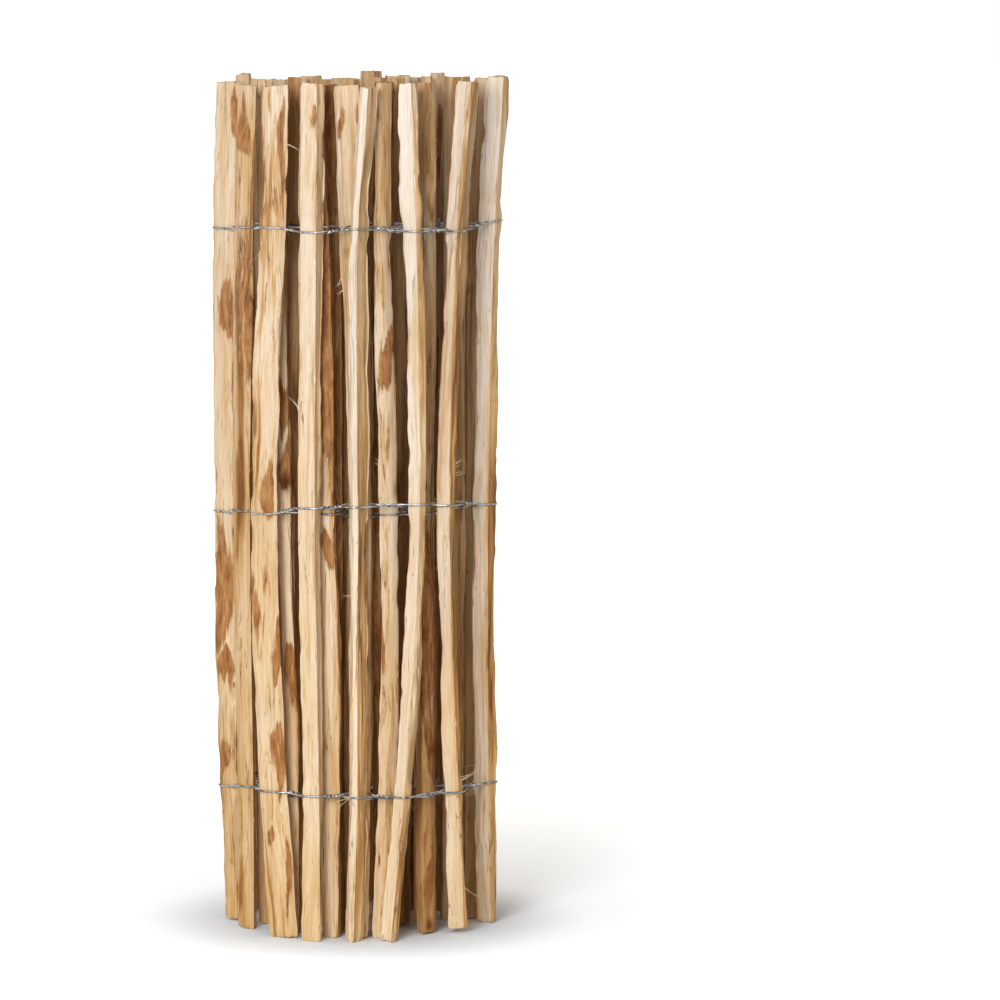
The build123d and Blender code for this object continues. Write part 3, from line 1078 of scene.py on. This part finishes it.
def add_ends(skin, pale, points, look):
    """The two sawn ends of a pale."""
    for level, upward in ((0, False), (len(points) - 1, True)):
        rim = points[level]
        middle = rim.mean(axis=0)
        cap = np.concatenate([*(middle + (rim - middle) * share for share in END_RINGS), [middle]])
        faces = end_faces(level * pale.count, skin.size(), pale.count, upward)
        grain = cap - [*pale.centres[level, 0], 0] + pale.grain_start
        # the sawn ends take the pale's tone and painted shade
        skin.add(cap, faces, grain, np.tile([look.tone, 0.0, look.painted_shade, 1.0], (len(cap), 1)))


def torn_slivers(pale, points):
    """The slivers that the photograph shows on a pale."""
    corners = pale.grid.corners()
    draw = pale.draw
    slivers = []
    for torn in TORN_PLACES.get(pale.number, ()):
        found = [pixels(points[:, corner]) for corner in corners]
        off = [(columns - torn.column) ** 2 + (rows - torn.row) ** 2 for columns, rows in found]
        nearest = min(range(4), key=lambda corner: off[corner].min())
        middle = int(np.argmin(off[nearest]))
        for _ in range(torn.count):
            level = middle + draw.randint(-TORN_SCATTER, TORN_SCATTER)
            level = min(max(level, 1), len(points) - 2)
            right, up = (part + draw.uniform(-TORN_SWAY, TORN_SWAY) for part in torn.toward)
            length = torn.length * draw.uniform(*TORN_LENGTHS)
            slivers.append(Sliver(level, corners[nearest], Vector((right, 0, up)), length, torn.width))
    return slivers


def loose_sliver(pale):
    """A short sliver somewhere along an arris."""
    level = pale.draw.randrange(LOOSE_MARGIN, len(pale.heights) - LOOSE_MARGIN)
    way = Vector((0, 0, pale.draw.choice((-1, 1))))
    column = pale.draw.choice(pale.grid.corners())
    return Sliver(level, column, way, pale.draw.uniform(*LOOSE_LENGTH), LOOSE_WIDTH)


def add_sliver(skin, pale, points, sliver):
    """One thin curling sliver that is torn from an arris."""
    draw = pale.draw
    outward = Vector((*pale.normals[sliver.level, sliver.column], 0))
    root = Vector(points[sliver.level, sliver.column]) - outward * SLIVER_ROOT
    along = (sliver.way + outward * draw.uniform(*SLIVER_LIFT)).normalized()
    curl = outward * draw.uniform(0.0, CURL_OUT)
    curl += Vector([draw.uniform(-CURL_ASIDE, CURL_ASIDE) for _ in range(3)])
    aside = along.cross(outward).normalized()
    rings = []
    for step in range(SLIVER_STEPS + 1):
        share = step / SLIVER_STEPS
        middle = root + along * (sliver.length * share) + curl * (sliver.length * share * share)
        for side in range(SLIVER_SIDES):
            turn = 2 * math.pi * side / SLIVER_SIDES
            arm = aside * math.cos(turn) + outward * math.sin(turn)
            rings.append(middle + arm * (sliver.width * (1 - SLIVER_TAPER * share)))
    made = inside_box(rings)
    faces = tube_faces(skin.size(), SLIVER_STEPS + 1, SLIVER_SIDES)
    skin.add(made, faces, made + pale.seed, np.tile(SLIVER_LOOK, (len(made), 1)))


def pale_skin(pale):
    """A split pale's surface: its sides, its two sawn ends and its slivers."""
    look = pale_look(pale)
    swell, dark = knot_swell(pale)
    surface = split_surface(pale, swell)
    looks = side_looks(pale, look, dark)
    points = worn_points(pale, surface)
    grain = np.column_stack([pale.flat.reshape(-1, 2), pale.upright]) + pale.grain_start
    skin = Skin([], [], [], [])
    skin.add(points.reshape(-1, 3), side_faces(0, *surface.shape[:2]), grain, looks)
    add_ends(skin, pale, points, look)
    slivers = torn_slivers(pale, points)
    slivers += [loose_sliver(pale) for _ in range(pale.grid.slivers)]
    for sliver in slivers:
        add_sliver(skin, pale, points, sliver)
    return skin


def new_mesh(name, points, faces, material):
    """A smooth mesh with one material."""
    mesh = bpy.data.meshes.new(name)
    mesh.from_pydata(points.tolist(), [], faces)
    mesh.update()
    mesh.materials.append(material)
    mesh.shade_smooth()
    return mesh


def make_pale(number, material):
    """A split pale in place of its frame node."""
    pale = Pale(number)
    skin = pale_skin(pale)
    mesh = new_mesh(pale.name, np.concatenate(skin.points), skin.faces, material)
    mesh.set_sharp_from_angle(angle=SHARP_ANGLE)
    grain = mesh.attributes.new("grain", "FLOAT_VECTOR", "POINT")
    grain.data.foreach_set("vector", np.concatenate(skin.grain).reshape(-1))
    look = mesh.attributes.new("look", "FLOAT_COLOR", "POINT")
    look.data.foreach_set("color", np.concatenate(skin.look).reshape(-1))
    made = add_object(f"{pale.name}_split", mesh)
    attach(made, "root")
    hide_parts(pale.name)


# Wires

WIRE_RADIUS = 0.0014
WIRE_SIDES = 8
STRAND_SIDES = 3  # of a strand in the frame
CAP_NEIGHBOURS = 12  # the most that the corners of its end have together
TWIST_PAIR = 0.006  # strands nearer than this to each other are twisting
TWIST_CORNERS = 5  # the least that a twist has
TWIST_POINTS = 10  # points in one turn of the twist
TWIST_SPREAD = 1.03  # how far the strands lie from its axis, in wire radii
LONG_TWIST = 0.017  # a twist longer than this has two turns
BEND_REACH = 0.004  # how far from a corner a strand begins to bend
BEND_SHARE = 0.45  # the most of a run that a bend takes up
BEND_STEPS = (0.0, 0.33, 0.67, 1.0)
STEP_SHARE = 0.3  # points of a path nearer than this share of the radius are left out


def strand_net(name):
    """A strand's corners, the corners that each is joined to, and its triangles."""
    places, index = np.unique(np.round(node_points(name), PLACE_DIGITS), axis=0, return_inverse=True)
    index = index.reshape(-1)
    near = [set() for _ in places]
    triangles = []
    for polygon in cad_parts[name].data.polygons:
        loop = [int(index[vertex]) for vertex in polygon.vertices]
        triangles.append(loop)
        for first, second in zip(loop, loop[1:] + loop[:1]):
            near[first].add(second)
            near[second].add(first)
    return places, near, triangles


def strand_corners(name):
    """The corners of a strand's path: the middles of its rings, from one end on."""
    places, near, triangles = strand_net(name)
    best = []
    for cap in triangles:
        if sum(len(near[corner]) for corner in cap) > CAP_NEIGHBOURS:
            continue
        ring, seen, path = set(cap), set(cap), []
        while len(ring) == STRAND_SIDES:
            path.append(places[list(ring)].mean(axis=0))
            ring = {corner for member in ring for corner in near[member]} - seen
            seen |= ring
        if len(path) > len(best):
            best = path
    return [Vector(place) for place in best]


def bend_end(corner, away):
    """Where the bend at a corner meets one of its two runs."""
    return corner + away * min(BEND_SHARE, BEND_REACH / max(away.length, 1e-6))


def rounded(path):
    """A path with its corners bent instead of sharp."""
    smooth = [path[0]]
    for before, corner, after in zip(path, path[1:], path[2:]):
        start = bend_end(corner, before - corner)
        end = bend_end(corner, after - corner)
        for t in BEND_STEPS:
            smooth.append(start * (1 - t) ** 2 + corner * 2 * t * (1 - t) + end * t * t)
    smooth.append(path[-1])
    return smooth


def twisted(pairs):
    """Two strands wound round each other along the axis of their paired corners."""
    start, end = ((first + second) / 2 for first, second in (pairs[0], pairs[-1]))
    along = (end - start).normalized()
    up = (pairs[0][0] - start).normalized()
    aside = along.cross(up)
    turns = 2 if (pairs[0][0] - pairs[-1][0]).length > LONG_TWIST else 1
    steps = TWIST_POINTS * turns
    first, second = [], []
    for step in range(steps + 1):
        phase = 2 * math.pi * turns * step / steps
        arm = (up * math.cos(phase) + aside * math.sin(phase)) * WIRE_RADIUS * TWIST_SPREAD
        place = start.lerp(end, step / steps)
        first.append(place + arm)
        second.append(place - arm)
    return first, second


def paired_runs(first, second):
    """Stretches of the two strands' corners where they twist round each other."""
    runs = [[]]
    for i, point in enumerate(first):
        j = min(range(len(second)), key=lambda k: (second[k] - point).length)
        if (second[j] - point).length < TWIST_PAIR:
            if (i - 1, j - 1) not in runs[-1]:
                runs.append([])
            runs[-1].append((i, j))
    return [run for run in runs if len(run) >= TWIST_CORNERS]


def row_paths(row):
    """The two strands of a wire row as smooth paths."""
    first, second = strand_corners(f"{row}_wire_1"), strand_corners(f"{row}_wire_2")
    if (first[0] - second[0]).length > (first[0] - second[-1]).length:
        second.reverse()
    paths = [[], []]
    done = [0, 0]
    for run in paired_runs(first, second):
        wound = twisted([(first[i], second[j]) for i, j in run])
        for strand, corners in enumerate((first, second)):
            if paths[strand]:
                loose = corners[done[strand]:run[0][strand]]
                paths[strand] += rounded([paths[strand][-1], *loose, wound[strand][0]])[1:-1]
            paths[strand] += wound[strand]
            done[strand] = run[-1][strand] + 1
    for strand, corners in enumerate((first, second)):
        paths[strand] += rounded([paths[strand][-1], *corners[done[strand]:]])[1:]
    return paths


def round_wire(name, path, material):
    """A round wire along a path."""
    kept = [path[0]]
    for point in path[1:]:
        if (point - kept[-1]).length > WIRE_RADIUS * STEP_SHARE:
            kept.append(point)
    points = []
    across = Vector((0, 0, 1))
    for index, point in enumerate(kept):
        along = (kept[min(index + 1, len(kept) - 1)] - kept[max(index - 1, 0)]).normalized()
        across = (across - along * across.dot(along)).normalized()
        other = along.cross(across)
        for side in range(WIRE_SIDES):
            turn = 2 * math.pi * side / WIRE_SIDES
            points.append(point + (across * math.cos(turn) + other * math.sin(turn)) * WIRE_RADIUS)
    return new_mesh(name, inside_box(points), tube_faces(0, len(kept), WIRE_SIDES), material)


def make_wires(material):
    """The three rows of twisted wire."""
    for row in WIRE_ROWS:
        for number, path in enumerate(row_paths(row), start=1):
            name = f"{row}_wire_{number}"
            made = add_object(f"{name}_round", round_wire(name, path, material))
            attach(made, "root")
            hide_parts(name)


make_camera()
make_stage()
wood = chestnut()
for number in PALES:
    make_pale(number, wood)
make_wires(galvanised())
